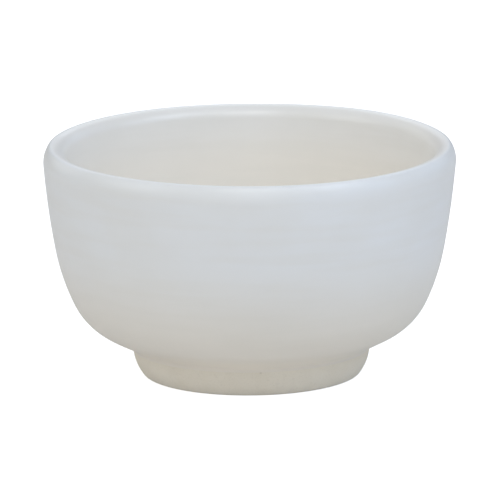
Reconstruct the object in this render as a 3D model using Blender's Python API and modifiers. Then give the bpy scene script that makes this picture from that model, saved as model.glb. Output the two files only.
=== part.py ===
"""Footed porcelain evaporating dish, 80 mm across the rim and 45 mm high.

The dish is turned: every piece is an outline swept round the Z axis. Z = 0 is the bench it stands on.
An outline is walked as a chain of arcs that meet smoothly. Along it, "facing" is the direction that the
surface looks, in degrees from straight up (0) through outwards (90) to straight down (180); a surface
that looks towards the axis has a negative facing. A hollow arc has a negative radius. Because the arcs
meet smoothly, the same chain walked at an inset gives the parallel surface below the first one.
"""

from math import ceil, cos, pi, radians, sin

import bpy

MM = 0.001

# Overall sizes of the glazed dish.
RIM_RADIUS = 40.0 * MM
HEIGHT = 45.1 * MM

# The coat of glaze, and the gap that keeps touching pieces apart.
GLAZE_THICKNESS = 0.3 * MM
SEAM = 0.3 * MM
BODY_INSET = GLAZE_THICKNESS + SEAM

# Outside of the glazed dish, from the crest of the lip down: (arc radius, facing at the arc's end).
LIP_OUTSIDE = [(0.8 * MM, 55.0), (4.8 * MM, 94.8)]
WALL_OUTSIDE = [(172.0 * MM, 100.4), (42.0 * MM, 115.5), (13.2 * MM, 152.0)]
UNDERSIDE_RADIUS = 100.0 * MM
GLAZE_EDGE = 155.3
FOOT_CREASE = 155.6

# Hidden inside the foot, the underside rounds off to flat.
RECESS_TURN = (8.0 * MM, 180.0)

# Inside of the glazed dish, from the crest of the lip down. One last hollow arc closes the floor.
LIP_INSIDE = [(2.7 * MM, -85.0)]
WALL_INSIDE = [(-152.0 * MM, -79.6), (-38.0 * MM, -66.0)]
HEEL_RADIUS = 13.0 * MM
HEEL_END = -17.0

# Foot ring: the flared outer side, the rounded edges and the flat ring that it stands on.
FOOT_RADIUS = 23.0 * MM
FOOT_SIDE = (8.3 * MM, 128.5)
FOOT_OUTER_EDGE = (0.8 * MM, 180.0)
FOOT_BORE_RADIUS = 17.4 * MM
FOOT_INNER_EDGE = 0.6 * MM

# Facets.
SWEEP_STEPS = 60
FACET_TURN = 12.5
FACET_LENGTH = 3.8 * MM
MERGE_DISTANCE = 0.02 * MM

COLLECTION = "evaporating_dish"


def clear_scene():
    for thing in list(bpy.data.objects):
        bpy.data.objects.remove(thing, do_unlink=True)


def new_collection(name):
    collection = bpy.data.collections.new(name)
    bpy.context.scene.collection.children.link(collection)
    return collection


def new_material(name, colour, roughness):
    material = bpy.data.materials.new(name)
    material.use_nodes = True
    shader = material.node_tree.nodes["Principled BSDF"]
    shader.inputs["Base Color"].default_value = (*colour, 1.0)
    shader.inputs["Roughness"].default_value = roughness
    shader.inputs["Metallic"].default_value = 0.0
    return material


def walk(start, facing, turns, inset=0.0):
    """Follow arcs from a (radius, height) point and return the points passed, without the start."""
    radius, height = start
    points = []
    for arc_radius, end in turns:
        bend = arc_radius - inset
        length = abs(bend * radians(end - facing))
        count = max(ceil(abs(end - facing) / FACET_TURN), ceil(length / FACET_LENGTH), 2)
        for step in range(1, count + 1):
            angle = radians(facing + (end - facing) * step / count)
            out = radius + bend * (sin(angle) - sin(radians(facing)))
            up = height + bend * (cos(angle) - cos(radians(facing)))
            points.append((out, up))
        radius, height = points[-1]
        facing = end
    return points


def crest(inset=0.0):
    """The highest point of the lip, placed so that the widest part of the outside is RIM_RADIUS."""
    (crest_arc, shoulder), (side_arc, _) = LIP_OUTSIDE
    reach = crest_arc * sin(radians(shoulder)) + side_arc * (1.0 - sin(radians(shoulder)))
    return (RIM_RADIUS - reach, HEIGHT - inset)


def outside(last_facing, inset=0.0):
    """Crest to the cone of the underside, going down the outer face."""
    turns = LIP_OUTSIDE + WALL_OUTSIDE + [(UNDERSIDE_RADIUS, last_facing)]
    return walk(crest(inset), 0.0, turns, inset)


def inside(inset=0.0):
    """Crest to the middle of the floor, going down the inner face."""
    turns = LIP_INSIDE + WALL_INSIDE + [(-HEEL_RADIUS, HEEL_END)]
    heel_radius = walk(crest(), 0.0, turns)[-1][0]
    floor_radius = heel_radius / sin(radians(-HEEL_END))
    points = walk(crest(inset), 0.0, turns + [(-floor_radius, 0.0)], inset)
    points[-1] = (0.0, points[-1][1])
    return points


def turned_object(name, outline, closed, material, collection):
    """Sweep an outline of (radius, height) points round the Z axis."""
    mesh = bpy.data.meshes.new(name)
    points = [(radius, 0.0, height) for radius, height in outline]
    edges = [(index, index + 1) for index in range(len(points) - 1)]
    if closed:
        edges.append((len(points) - 1, 0))
    mesh.from_pydata(points, edges, [])
    mesh.materials.append(material)
    thing = bpy.data.objects.new(name, mesh)
    collection.objects.link(thing)
    sweep = thing.modifiers.new("sweep", "SCREW")
    sweep.axis = "Z"
    sweep.angle = 2.0 * pi
    sweep.steps = SWEEP_STEPS
    sweep.render_steps = SWEEP_STEPS
    sweep.use_merge_vertices = True
    sweep.merge_threshold = MERGE_DISTANCE
    sweep.use_smooth_shade = True
    return thing


def make_bowl(collection):
    """The fired porcelain body, whose bare underside closes over the foot ring."""
    outer = outside(FOOT_CREASE, BODY_INSET)
    recess = walk(outer[-1], FOOT_CREASE, [RECESS_TURN], BODY_INSET)
    centre_below = (0.0, recess[-1][1])
    outline = list(reversed(inside(BODY_INSET))) + [crest(BODY_INSET)] + outer + recess + [centre_below]
    material = new_material("bowl", (0.82, 0.80, 0.74), 0.55)
    return turned_object("bowl", outline, False, material, collection)


def make_foot_ring(collection):
    """The ring that the dish stands on, seated against the underside of the bowl."""
    seat_start = outside(FOOT_CREASE, SEAM)[-1]
    seat = walk(seat_start, FOOT_CREASE, [RECESS_TURN], SEAM)
    seat_height = seat[-1][1]
    side_radius, side_end = FOOT_SIDE
    edge_radius = FOOT_OUTER_EDGE[0]
    side_drop = side_radius * -cos(radians(side_end))
    edge_drop = edge_radius * (1.0 + cos(radians(side_end)))
    side_top = (FOOT_RADIUS, side_drop + edge_drop)
    outer = [(FOOT_RADIUS, seat_start[1]), side_top] + walk(side_top, 90.0, [FOOT_SIDE, FOOT_OUTER_EDGE])
    flat_inner = (FOOT_BORE_RADIUS + FOOT_INNER_EDGE, 0.0)
    bore = [flat_inner] + walk(flat_inner, 180.0, [(FOOT_INNER_EDGE, 270.0)])
    outline = outer + bore + [(FOOT_BORE_RADIUS, seat_height)] + list(reversed(seat))
    material = new_material("foot_ring", (0.78, 0.74, 0.65), 0.60)
    return turned_object("foot_ring", outline, True, material, collection)


def make_glaze_coat(collection):
    """The glassy coat: floor, inner wall, over the lip and down to a line just clear of the foot ring."""
    outline = list(reversed(inside())) + [crest()] + outside(GLAZE_EDGE)
    material = new_material("glaze_coat", (0.87, 0.88, 0.86), 0.18)
    thing = turned_object("glaze_coat", outline, False, material, collection)
    coat = thing.modifiers.new("coat", "SOLIDIFY")
    coat.thickness = GLAZE_THICKNESS
    coat.offset = -1.0
    coat.use_even_offset = True
    return thing


def main():
    clear_scene()
    collection = new_collection(COLLECTION)
    make_bowl(collection)
    make_foot_ring(collection)
    make_glaze_coat(collection)


main()
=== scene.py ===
"""Looks of the footed porcelain evaporating dish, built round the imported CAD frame.

The dish is turned, so every piece is an outline swept round the Z axis. An outline is walked as a chain of
arcs that meet smoothly. Along it, "facing" is the direction that the surface looks, in degrees from straight
up (0) through outwards (90) to straight down (180); a surface that looks towards the axis has a negative
facing. A hollow arc has a negative radius. Walking the same chain at an inset gives the parallel surface.
"""
from math import ceil, cos, pi, radians, sin

import bpy
from mathutils import Matrix, Vector


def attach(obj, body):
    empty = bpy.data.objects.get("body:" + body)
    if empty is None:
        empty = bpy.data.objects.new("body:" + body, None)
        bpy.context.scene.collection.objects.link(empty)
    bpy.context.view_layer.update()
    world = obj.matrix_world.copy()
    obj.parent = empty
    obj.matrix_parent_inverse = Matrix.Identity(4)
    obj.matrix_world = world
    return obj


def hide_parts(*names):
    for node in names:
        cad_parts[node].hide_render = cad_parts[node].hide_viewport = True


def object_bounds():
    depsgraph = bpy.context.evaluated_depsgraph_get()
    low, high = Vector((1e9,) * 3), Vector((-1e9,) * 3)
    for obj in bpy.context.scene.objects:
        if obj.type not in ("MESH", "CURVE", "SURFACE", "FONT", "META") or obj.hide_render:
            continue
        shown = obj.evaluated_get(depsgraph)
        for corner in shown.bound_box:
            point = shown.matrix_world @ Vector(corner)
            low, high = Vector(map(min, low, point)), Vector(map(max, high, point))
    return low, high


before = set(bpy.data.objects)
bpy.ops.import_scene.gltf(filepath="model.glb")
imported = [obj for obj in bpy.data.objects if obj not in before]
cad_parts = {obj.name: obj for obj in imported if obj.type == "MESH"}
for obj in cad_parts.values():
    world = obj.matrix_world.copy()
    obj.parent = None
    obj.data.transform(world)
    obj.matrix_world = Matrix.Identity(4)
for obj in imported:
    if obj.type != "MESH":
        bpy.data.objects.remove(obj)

MM = 0.001
BODY = "root"

CAD_BOX = [list(corner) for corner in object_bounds()]
RIM_RADIUS = 40.0 * MM
HEIGHT = CAD_BOX[1][2] - CAD_BOX[0][2]

# ---------------------------------------------------------------- outlines
# Arcs are (arc radius, facing at the arc's end), with the same values as the CAD.

LIP_OUTSIDE = [(0.8 * MM, 55.0), (4.8 * MM, 94.8)]
WALL_OUTSIDE = [(172.0 * MM, 100.4), (42.0 * MM, 115.5), (13.2 * MM, 152.0)]
UNDERSIDE_RADIUS = 100.0 * MM
FOOT_CREASE = 155.6
RECESS_TURN = (8.0 * MM, 180.0)
LIP_INSIDE = [(2.7 * MM, -85.0)]
WALL_INSIDE = [(-152.0 * MM, -79.6), (-38.0 * MM, -66.0)]
HEEL_TURN = (-13.0 * MM, -17.0)

FOOT_RADIUS = 23.0 * MM
FOOT_SIDE = (8.3 * MM, 128.5)
FOOT_OUTER_EDGE = (0.8 * MM, 180.0)
FOOT_BORE_RADIUS = 17.4 * MM
FOOT_INNER_EDGE = 0.6 * MM

# The glaze pools in the crease: it leaves the underside early, rounds the corner and ends on the foot.
GLAZE_THICKNESS = 0.3 * MM
POOL_START = 155.2
POOL_TURN = (-0.9 * MM, 90.0)
GLAZE_ROLL = (0.1 * MM, 180.0)
GLAZE_INNER_END = 155.5

# The hidden gap between the glaze and the body.
FIT_GAP = 0.02 * MM

# Facets, and the radius below which a point counts as lying on the axis.
SEGMENTS = 240
FINE_TURN = 4.0
FINE_LENGTH = 0.8 * MM
AXIS_RADIUS = 1e-7


def walk(start, facing, turns, inset=0.0):
    """Follow arcs from a (radius, height) point; returns the points passed, without the start."""
    radius, height = start
    points = []
    for arc_radius, end in turns:
        bend = arc_radius - inset
        length = abs(bend * radians(end - facing))
        count = max(ceil(abs(end - facing) / FINE_TURN), ceil(length / FINE_LENGTH), 2)
        for step in range(1, count + 1):
            angle = radians(facing + (end - facing) * step / count)
            out = radius + bend * (sin(angle) - sin(radians(facing)))
            up = height + bend * (cos(angle) - cos(radians(facing)))
            points.append((out, up))
        radius, height = points[-1]
        facing = end
    return points


def crest(inset=0.0):
    """The highest point of the lip, placed so that the widest part of the outside is RIM_RADIUS."""
    (crest_arc, shoulder), (side_arc, _) = LIP_OUTSIDE
    reach = crest_arc * sin(radians(shoulder)) + side_arc * (1.0 - sin(radians(shoulder)))
    return (RIM_RADIUS - reach, HEIGHT - inset)


def outside(last_facing, inset=0.0):
    """Crest to the cone of the underside, going down the outer face."""
    turns = LIP_OUTSIDE + WALL_OUTSIDE + [(UNDERSIDE_RADIUS, last_facing)]
    return walk(crest(inset), 0.0, turns, inset)


def inside(inset=0.0):
    """Crest to the middle of the floor, going down the inner face."""
    turns = LIP_INSIDE + WALL_INSIDE + [HEEL_TURN]
    heel_radius = walk(crest(), 0.0, turns)[-1][0]
    floor_radius = heel_radius / sin(radians(-HEEL_TURN[1]))
    points = walk(crest(inset), 0.0, turns + [(-floor_radius, 0.0)], inset)
    points[-1] = (0.0, points[-1][1])
    return points


# ---------------------------------------------------------------- pieces
# How far the dish is from true. The wall is a little oval and wavy, and sags to the left halfway up. The lip
# waves, leans down to the right and rises at the back right.

OVAL = 0.05 * MM
WALL_WAVE = 0.02 * MM
SAG = 0.6 * MM
LIP_WAVE = 0.05 * MM
LIP_LEAN = 0.2 * MM
LIP_RISE = 0.25 * MM
RISE_ANGLE = radians(50.0)


def hand_made(radius, height, angle):
    """Move a point of the true shape by what turning and firing leave; nothing moves at the bench."""
    share = max(height, 0.0) / HEIGHT
    oval = OVAL * sin(2.0 * angle + 0.7) + WALL_WAVE * sin(5.0 * angle + 2.1)
    sag = SAG * share * (1.0 - share) * cos(angle)
    wave = LIP_WAVE * sin(3.0 * angle + 1.0)
    lean = LIP_LEAN * cos(angle)
    rise = LIP_RISE * max(cos(angle - RISE_ANGLE), 0.0) ** 10
    return radius + oval * share - sag, height + (wave - lean + rise) * share ** 3


def turned_piece(name, outline, closed):
    """Turn an outline round Z. A point on the axis becomes a single pole."""
    verts = []
    rings = []
    for radius, height in outline:
        if radius < AXIS_RADIUS:
            rings.append([len(verts)] * SEGMENTS)
            verts.append((0.0, 0.0, height))
            continue
        rings.append(list(range(len(verts), len(verts) + SEGMENTS)))
        for step in range(SEGMENTS):
            angle = 2.0 * pi * step / SEGMENTS
            out, up = hand_made(radius, height, angle)
            verts.append((out * cos(angle), out * sin(angle), up))
    pairs = list(zip(rings[:-1], rings[1:]))
    if closed:
        pairs.append((rings[-1], rings[0]))
    faces = []
    for upper, lower in pairs:
        for step in range(SEGMENTS):
            after = (step + 1) % SEGMENTS
            corners = [upper[step], lower[step], lower[after], upper[after]]
            faces.append([c for i, c in enumerate(corners) if c != corners[i - 1]])
    mesh = bpy.data.meshes.new(name)
    mesh.from_pydata(verts, [], faces)
    mesh.validate()
    mesh.shade_smooth()
    piece = bpy.data.objects.new(name, mesh)
    bpy.context.scene.collection.objects.link(piece)
    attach(piece, BODY)
    return piece


def make_glaze():
    """The glassy coat over the floor, walls, lip and underside, rolled over at its lower edge."""
    down = outside(POOL_START)
    pool = walk(down[-1], POOL_START, [POOL_TURN])
    roll = walk(pool[-1], 90.0, [GLAZE_ROLL])
    back_up = list(reversed(outside(GLAZE_INNER_END, GLAZE_THICKNESS))) + [crest(GLAZE_THICKNESS)]
    outline = list(reversed(inside())) + [crest()] + down + pool + roll + back_up + inside(GLAZE_THICKNESS)
    piece = turned_piece("glaze_shell", outline, False)
    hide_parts("glaze_coat")
    return piece


def make_body():
    """The porcelain wall under the glaze. Only its bare underside, inside the foot, can be seen."""
    inset = GLAZE_THICKNESS + FIT_GAP
    outer = outside(FOOT_CREASE, inset)
    recess = walk(outer[-1], FOOT_CREASE, [RECESS_TURN], inset)
    flat_height = recess[-1][1]
    below = [(FOOT_BORE_RADIUS * 0.5, flat_height), (0.0, flat_height)]
    outline = list(reversed(inside(inset))) + [crest(inset)] + outer + recess + below
    piece = turned_piece("porcelain_bowl", outline, False)
    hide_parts("bowl")
    return piece


def make_foot():
    """The foot ring, seated on the bare underside."""
    inset = GLAZE_THICKNESS
    seat_start = outside(FOOT_CREASE, inset)[-1]
    seat = walk(seat_start, FOOT_CREASE, [RECESS_TURN], inset)
    side_drop = FOOT_SIDE[0] * -cos(radians(FOOT_SIDE[1]))
    edge_drop = FOOT_OUTER_EDGE[0] * (1.0 + cos(radians(FOOT_SIDE[1])))
    side_top = (FOOT_RADIUS, side_drop + edge_drop)
    outer = [(FOOT_RADIUS, seat_start[1]), side_top] + walk(side_top, 90.0, [FOOT_SIDE, FOOT_OUTER_EDGE])
    flat_inner = (FOOT_BORE_RADIUS + FOOT_INNER_EDGE, 0.0)
    bore = [flat_inner] + walk(flat_inner, 180.0, [(FOOT_INNER_EDGE, 270.0)])
    outline = outer + bore + [(FOOT_BORE_RADIUS, seat[-1][1])] + list(reversed(seat))
    piece = turned_piece("foot_ring_fine", outline, True)
    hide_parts("foot_ring")
    return piece


# ---------------------------------------------------------------- materials
# Patterns are placed by the object's own coordinates, which are metres in the frame of the CAD.

# The glaze on the outer wall, inside near the lip, deep inside, low on both walls and where it pools by the
# crease. On top of the glaze's own tone these hold painted light: a painted cool reflection outside, painted
# warm bounce light inside, painted warm bounce and shade low down, and painted bounce light lifting the
# crease's shade.
OUTER_GLAZE_PAINTED_COOL_REFLECTION = (0.87, 0.89, 0.908)
UPPER_HOLLOW_PAINTED_BOUNCE = (0.902, 0.888, 0.862)
DEEP_HOLLOW_PAINTED_BOUNCE = (0.914, 0.872, 0.806)
LOW_PAINTED_BOUNCE_AND_SHADE = (0.888, 0.854, 0.786)
POOLED_GLAZE_PAINTED_LIFT = (0.94, 0.883, 0.79)
CLOUDED_GLAZE = (0.80, 0.775, 0.71)
GLAZE_SPECKS = (0.42, 0.38, 0.32)

# Heights through which one glaze colour gives way to the next.
HOLLOW_FADE = (33 * MM, 43 * MM)
LOW_FADE = (11 * MM, 32 * MM)
POOL_AND_LIFT_FADE = (5.5 * MM, 11 * MM)

# The change over the lip from the outer colour, with its painted cool reflection, to the inner one, with its
# painted warm bounce, measured by the normal's outward part times the radius.
LIP_FADE = (-14 * MM, 14 * MM)

# Bare porcelain, each with a lighter and a darker colour, painted contact shade at its bottom edge and its
# iron specks.
BOWL_CLAY = ((0.89, 0.84, 0.72), (0.86, 0.81, 0.68))
# The foot's clay is its own warm tone, made lighter and warmer than the bowl's with painted warm bounce
# light that lifts the shade under the belly.
FOOT_CLAY_PAINTED_BOUNCE = ((0.935, 0.88, 0.765), (0.905, 0.845, 0.725))
GRAIN_AND_CONTACT_DARKENING = 0.80
CONTACT_SHADE_FADE = (0.1 * MM, 0.7 * MM)
IRON_SPECKS = (0.30, 0.25, 0.20)

# The one speck that stands out from the front, on the foot's outer side.
FOOT_SPECK = (1.7 * MM, -22.9 * MM, 5.0 * MM)


def new_material(name):
    material = bpy.data.materials.new(name)
    material.use_nodes = True
    return material, material.node_tree, material.node_tree.nodes["Principled BSDF"]


def place(tree):
    return tree.nodes.new("ShaderNodeTexCoord").outputs["Object"]


def noise(tree, size, detail=2.0):
    """Cloudy noise from 0 to 1 with lumps of the given size along X, Y and Z, in metres."""
    scale = tree.nodes.new("ShaderNodeMapping")
    scale.inputs["Scale"].default_value = [1.0 / length for length in size]
    tree.links.new(place(tree), scale.inputs["Vector"])
    cloud = tree.nodes.new("ShaderNodeTexNoise")
    cloud.inputs["Scale"].default_value = 1.0
    cloud.inputs["Detail"].default_value = detail
    tree.links.new(scale.outputs["Vector"], cloud.inputs["Vector"])
    return cloud.outputs["Fac"]


def height(tree):
    split = tree.nodes.new("ShaderNodeSeparateXYZ")
    tree.links.new(place(tree), split.inputs["Vector"])
    return split.outputs["Z"]


def remap(tree, value, source, target):
    """Carry a value from one range to another, with smooth ends."""
    ranger = tree.nodes.new("ShaderNodeMapRange")
    ranger.interpolation_type = "SMOOTHSTEP"
    ranger.inputs["From Min"].default_value = source[0]
    ranger.inputs["From Max"].default_value = source[1]
    ranger.inputs["To Min"].default_value = target[0]
    ranger.inputs["To Max"].default_value = target[1]
    tree.links.new(value, ranger.inputs["Value"])
    return ranger.outputs["Result"]


def mix(tree, share, first, second):
    """Blend two colours, each a socket or three numbers, by a share from 0 to 1."""
    blend = tree.nodes.new("ShaderNodeMix")
    blend.data_type = "RGBA"
    tree.links.new(share, blend.inputs["Factor"])
    for key, colour in (("A", first), ("B", second)):
        socket = next(one for one in blend.inputs if one.name == key and one.type == "RGBA")
        if isinstance(colour, bpy.types.NodeSocket):
            tree.links.new(colour, socket)
        else:
            socket.default_value = (*colour, 1.0)
    return next(one for one in blend.outputs if one.type == "RGBA")


def fade_down(tree, span, above, below, share=1.0):
    """Blend going down through a span of heights, from one colour to the given share of another."""
    return mix(tree, remap(tree, height(tree), span, (share, 0.0)), above, below)


def multiply(tree, first, second):
    product = tree.nodes.new("ShaderNodeMath")
    product.operation = "MULTIPLY"
    tree.links.new(first, product.inputs[0])
    tree.links.new(second, product.inputs[1])
    return product.outputs["Value"]


def specks(tree, spacing, radius, kept):
    """1 inside small round specks, in the kept share of cells of the given spacing."""
    scale = tree.nodes.new("ShaderNodeVectorMath")
    scale.operation = "SCALE"
    scale.inputs["Scale"].default_value = 1.0 / spacing
    tree.links.new(place(tree), scale.inputs["Vector"])
    cells = tree.nodes.new("ShaderNodeTexVoronoi")
    cells.inputs["Scale"].default_value = 1.0
    tree.links.new(scale.outputs["Vector"], cells.inputs["Vector"])
    draw = tree.nodes.new("ShaderNodeSeparateColor")
    tree.links.new(cells.outputs["Color"], draw.inputs["Color"])
    spot = remap(tree, cells.outputs["Distance"], (0.6 * radius / spacing, radius / spacing), (1.0, 0.0))
    return multiply(tree, spot, remap(tree, draw.outputs["Red"], (kept, kept + 0.001), (1.0, 0.0)))


def lone_speck(tree, centre, radius, share):
    """One soft speck: the given share at its centre, fading to 0 at its radius."""
    away = tree.nodes.new("ShaderNodeVectorMath")
    away.operation = "DISTANCE"
    away.inputs[1].default_value = centre
    tree.links.new(place(tree), away.inputs[0])
    return remap(tree, away.outputs["Value"], (0.0, radius), (share, 0.0))


def bump(tree, value, depth, below=None):
    """Raise the surface by a 0 to 1 pattern, depth in metres, on top of an earlier bump."""
    relief = tree.nodes.new("ShaderNodeBump")
    relief.inputs["Strength"].default_value = 1.0
    relief.inputs["Distance"].default_value = depth
    tree.links.new(value, relief.inputs["Height"])
    if below is not None:
        tree.links.new(below, relief.inputs["Normal"])
    return relief.outputs["Normal"]


def hollow_side(tree):
    """How far the surface looks towards the axis: 1 inside the dish, 0 on its outer wall."""
    coordinates = tree.nodes.new("ShaderNodeTexCoord")
    level = tree.nodes.new("ShaderNodeVectorMath")
    level.operation = "MULTIPLY"
    level.inputs[1].default_value = (1.0, 1.0, 0.0)
    tree.links.new(coordinates.outputs["Object"], level.inputs[0])
    outward = tree.nodes.new("ShaderNodeVectorMath")
    outward.operation = "DOT_PRODUCT"
    tree.links.new(coordinates.outputs["Normal"], outward.inputs[0])
    tree.links.new(level.outputs["Vector"], outward.inputs[1])
    return remap(tree, outward.outputs["Value"], LIP_FADE, (1.0, 0.0))


def glaze_material():
    """Milky glaze: cool outside, creamier inside and low down, with faint turning marks and specks. The cool
    outside is a painted reflection, the cream inside and low down is painted warm bounce light, with painted
    shade low down and a painted lift of light in the crease.
    """
    material, tree, shader = new_material("milky_glaze")
    clouds = remap(tree, noise(tree, (16 * MM, 16 * MM, 12 * MM)), (0.3, 0.7), (0.0, 1.0))
    rings = noise(tree, (30 * MM, 30 * MM, 2.4 * MM), 3.0)
    # Painted light: a painted cool reflection on the outer wall, and painted warm bounce light inside,
    # warmest deep down.
    hollow = fade_down(tree, HOLLOW_FADE, UPPER_HOLLOW_PAINTED_BOUNCE, DEEP_HOLLOW_PAINTED_BOUNCE)
    colour = mix(tree, hollow_side(tree), OUTER_GLAZE_PAINTED_COOL_REFLECTION, hollow)
    # Painted warm bounce and painted shade: warmer and darker low on both walls.
    colour = fade_down(tree, LOW_FADE, colour, LOW_PAINTED_BOUNCE_AND_SHADE)
    # Lighter and warmer by the crease: the glaze pools there, and painted bounce light lifts the crease's
    # shade.
    colour = fade_down(tree, POOL_AND_LIFT_FADE, colour, POOLED_GLAZE_PAINTED_LIFT)
    colour = mix(tree, remap(tree, clouds, (0.0, 1.0), (0.0, 0.14)), colour, CLOUDED_GLAZE)
    colour = mix(tree, remap(tree, rings, (0.42, 0.66), (0.0, 0.13)), colour, CLOUDED_GLAZE)
    colour = mix(tree, specks(tree, 9 * MM, 0.16 * MM, 0.12), colour, GLAZE_SPECKS)
    tree.links.new(colour, shader.inputs["Base Color"])
    tree.links.new(remap(tree, clouds, (0.0, 1.0), (0.29, 0.36)), shader.inputs["Roughness"])
    shader.inputs["Coat Weight"].default_value = 0.2
    shader.inputs["Coat Roughness"].default_value = 0.2
    relief = bump(tree, rings, 14e-6)
    relief = bump(tree, noise(tree, (1.3 * MM,) * 3, 1.0), 9e-6, relief)
    relief = bump(tree, noise(tree, (0.3 * MM,) * 3, 1.0), 1.2e-6, relief)
    tree.links.new(relief, shader.inputs["Normal"])
    return material


def bare_material(name, clay):
    """Unglazed fired porcelain: matt and grainy, with a few iron specks and painted contact shade darkening
    its bottom edge at the bench.
    """
    light, dark = clay
    material, tree, shader = new_material(name)
    mottle = remap(tree, noise(tree, (5 * MM,) * 3, 4.0), (0.3, 0.7), (0.0, 1.0))
    grain = noise(tree, (0.35 * MM,) * 3, 3.0)
    # A darker clay for the grain, which is its own tone, and for the painted contact shade at the bottom
    # edge.
    dark_grain_and_shade = [GRAIN_AND_CONTACT_DARKENING * part for part in dark]
    colour = mix(tree, mottle, light, dark)
    colour = mix(tree, remap(tree, grain, (0.5, 0.75), (0.0, 0.25)), colour, dark_grain_and_shade)
    # Painted contact shade: darker towards the bottom edge, where the foot meets the bench.
    colour = fade_down(tree, CONTACT_SHADE_FADE, colour, dark_grain_and_shade, 0.35)
    colour = mix(tree, specks(tree, 4.5 * MM, 0.17 * MM, 0.14), colour, IRON_SPECKS)
    colour = mix(tree, lone_speck(tree, FOOT_SPECK, 0.35 * MM, 0.25), colour, IRON_SPECKS)
    tree.links.new(colour, shader.inputs["Base Color"])
    tree.links.new(remap(tree, grain, (0.3, 0.7), (0.55, 0.72)), shader.inputs["Roughness"])
    relief = bump(tree, noise(tree, (24 * MM, 24 * MM, 0.9 * MM), 2.0), 12e-6)
    relief = bump(tree, grain, 16e-6, relief)
    tree.links.new(relief, shader.inputs["Normal"])
    return material


def stage_material(name, colour):
    material, _, shader = new_material(name)
    shader.inputs["Base Color"].default_value = (*colour, 1.0)
    shader.inputs["Roughness"].default_value = 0.9
    return material


# ---------------------------------------------------------------- stage

# A long lens from far off, which keeps the view nearly parallel. Lens and sensor are in millimetres.
LENS = 800.0
SENSOR = 36.0
VIEW_ELEVATION = radians(12.75)
VIEW_DISTANCE = 53.96 * RIM_RADIUS
ROLL = radians(0.6)
AIM_ABOVE_SUBJECT = 4.02 * MM
AIM_ASIDE = -0.14 * MM
SUBJECT = Vector((0.0, 0.0, 0.5 * RIM_RADIUS))

# The white paper, and the warm card and the glow that lie hidden just under it.
FLOOR_HALF = 30.0
PAPER = (0.9, 0.9, 0.9)
PAPER_GLOW = 0.7
CARD_HALF = 0.8
CARD_LEVEL = -0.5 * MM
WARM_CARD = (0.74, 0.68, 0.60)
GLOW_LEVEL = -0.4 * MM

AMBIENT_TINT = (0.97, 0.98, 1.0)
AMBIENT_STRENGTH = 0.355

# Soft lights: name, place, disk diameter, watts, tint. Each aims at the dish, except for the table's glow,
# which looks straight up.
WHITE = (0.96, 0.98, 0.97)
PALE_BLUE = (0.82, 0.89, 1.0)
BLUE = (0.5, 0.7, 1.0)
LIGHTS = [
    ("front_high", (0.0, -0.75, 1.0), 0.7, 3.0, WHITE),
    ("front_middle", (0.0, -1.1, 0.45), 0.7, 0.8, PALE_BLUE),
    ("left_high", (-0.9, -0.35, 0.6), 0.8, 2.0, WHITE),
    ("right_top", (0.7, -0.45, 0.95), 0.6, 2.4, PALE_BLUE),
    ("right_high", (0.9, -0.35, 0.6), 0.8, 1.5, BLUE),
    ("back_high", (0.0, 0.9, 0.7), 0.8, 1.8, PALE_BLUE),
    ("back_left", (-0.8, 0.7, 0.4), 0.7, 0.7, WHITE),
    ("back_right", (0.8, 0.7, 0.4), 0.7, 0.6, BLUE),
]
TABLE_GLOW = ("table_glow", (0.0, 0.0, GLOW_LEVEL), 1.0, 0.3, BLUE)


def make_camera():
    data = bpy.data.cameras.new("camera")
    data.lens = LENS
    data.sensor_width = SENSOR
    data.clip_start = 0.1
    data.clip_end = 50.0
    camera = bpy.data.objects.new("camera", data)
    bpy.context.scene.collection.objects.link(camera)
    forward = Vector((0.0, cos(VIEW_ELEVATION), -sin(VIEW_ELEVATION)))
    up = Vector((0.0, sin(VIEW_ELEVATION), cos(VIEW_ELEVATION)))
    right = Vector((1.0, 0.0, 0.0))
    camera.location = SUBJECT - forward * VIEW_DISTANCE
    aim = SUBJECT + up * AIM_ABOVE_SUBJECT + right * AIM_ASIDE
    turn = (aim - camera.location).to_track_quat("-Z", "Y").to_matrix()
    camera.rotation_euler = (turn @ Matrix.Rotation(-ROLL, 3, "Z")).to_euler()
    bpy.context.scene.camera = camera


def area_light(name, spot, size, watts, tint):
    data = bpy.data.lights.new(name, "AREA")
    data.shape = "DISK"
    data.size = size
    data.energy = watts
    data.color = tint
    lamp = bpy.data.objects.new(name, data)
    bpy.context.scene.collection.objects.link(lamp)
    lamp.location = spot
    lamp.rotation_euler = (SUBJECT - Vector(spot)).to_track_quat("-Z", "Y").to_euler()
    lamp.visible_camera = False
    return lamp


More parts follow.
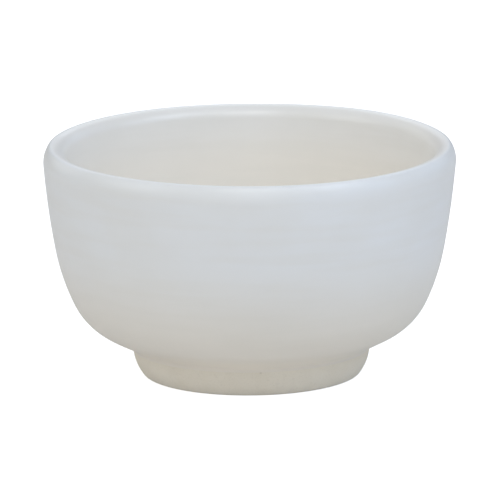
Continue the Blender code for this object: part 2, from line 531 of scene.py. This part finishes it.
def level_plane(name, half, height, material):
    mesh = bpy.data.meshes.new(name)
    corners = [(-half, -half, height), (half, -half, height), (half, half, height), (-half, half, height)]
    mesh.from_pydata(corners, [], [(0, 1, 2, 3)])
    mesh.materials.append(material)
    plane = bpy.data.objects.new(name, mesh)
    bpy.context.scene.collection.objects.link(plane)
    return plane


def make_floor():
    """White paper, which only the camera sees, over a warm card, which lights the dish unseen."""
    paper = stage_material("white_paper", PAPER)
    shader = paper.node_tree.nodes["Principled BSDF"]
    shader.inputs["Emission Color"].default_value = (1.0, 1.0, 1.0, 1.0)
    shader.inputs["Emission Strength"].default_value = PAPER_GLOW
    floor = level_plane("floor", FLOOR_HALF, 0.0, paper)
    floor.visible_diffuse = False
    floor.visible_glossy = False
    floor.visible_transmission = False
    floor.visible_shadow = False
    card = level_plane("bounce_card", CARD_HALF, CARD_LEVEL, stage_material("warm_card", WARM_CARD))
    card.visible_camera = False


def make_world():
    """Soft cool light from all round, with plain white for the camera."""
    world = bpy.data.worlds.new("studio")
    world.use_nodes = True
    tree = world.node_tree
    ambient = tree.nodes["Background"]
    ambient.inputs["Color"].default_value = (*AMBIENT_TINT, 1.0)
    ambient.inputs["Strength"].default_value = AMBIENT_STRENGTH
    backdrop = tree.nodes.new("ShaderNodeBackground")
    backdrop.inputs["Color"].default_value = (1.0, 1.0, 1.0, 1.0)
    path = tree.nodes.new("ShaderNodeLightPath")
    choose = tree.nodes.new("ShaderNodeMixShader")
    tree.links.new(path.outputs["Is Camera Ray"], choose.inputs["Fac"])
    tree.links.new(ambient.outputs["Background"], choose.inputs[1])
    tree.links.new(backdrop.outputs["Background"], choose.inputs[2])
    tree.links.new(choose.outputs["Shader"], tree.nodes["World Output"].inputs["Surface"])
    bpy.context.scene.world = world


def make_lights():
    for light in LIGHTS:
        area_light(*light)
    glow = area_light(*TABLE_GLOW)
    glow.rotation_euler = (pi, 0.0, 0.0)


make_glaze().data.materials.append(glaze_material())
make_body().data.materials.append(bare_material("bare_bowl", BOWL_CLAY))
make_foot().data.materials.append(bare_material("bare_foot", FOOT_CLAY_PAINTED_BOUNCE))
make_camera()
make_floor()
make_world()
make_lights()
bpy.context.scene.view_settings.view_transform = "Standard"
